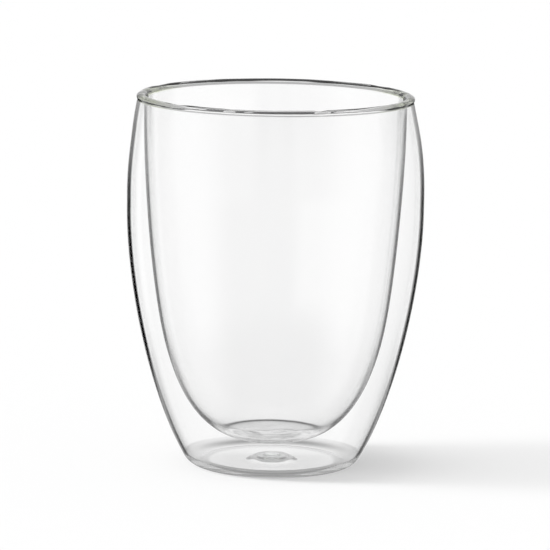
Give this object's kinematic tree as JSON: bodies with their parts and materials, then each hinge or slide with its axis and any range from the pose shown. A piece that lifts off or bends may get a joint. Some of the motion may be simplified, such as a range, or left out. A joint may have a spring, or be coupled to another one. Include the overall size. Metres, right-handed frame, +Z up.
{
  "type": "double walled glass cup",
  "caption": "Double walled clear glass cup: a blown bowl fused at a beaded rim inside a bellied outer wall, with an air gap and a plugged vent in the foot.",
  "frame": {"origin": "middle of the standing ring, on the table", "axes": "+Z up along the cup's axis of revolution, towards the open mouth"},
  "size_m": [0.0904, 0.0904, 0.114],
  "materials": {
    "outer_glass": "clear, fire polished",
    "bowl_glass": "clear, fire polished",
    "rim_glass": "clear, fire polished",
    "vent_seal": "clear, satin"
  },
  "bodies": {
    "root": {"outer_shell": "outer_glass", "inner_bowl": "bowl_glass", "rim_bead": "rim_glass", "vent_seal": "vent_seal"}
  },
  "joints": []
}
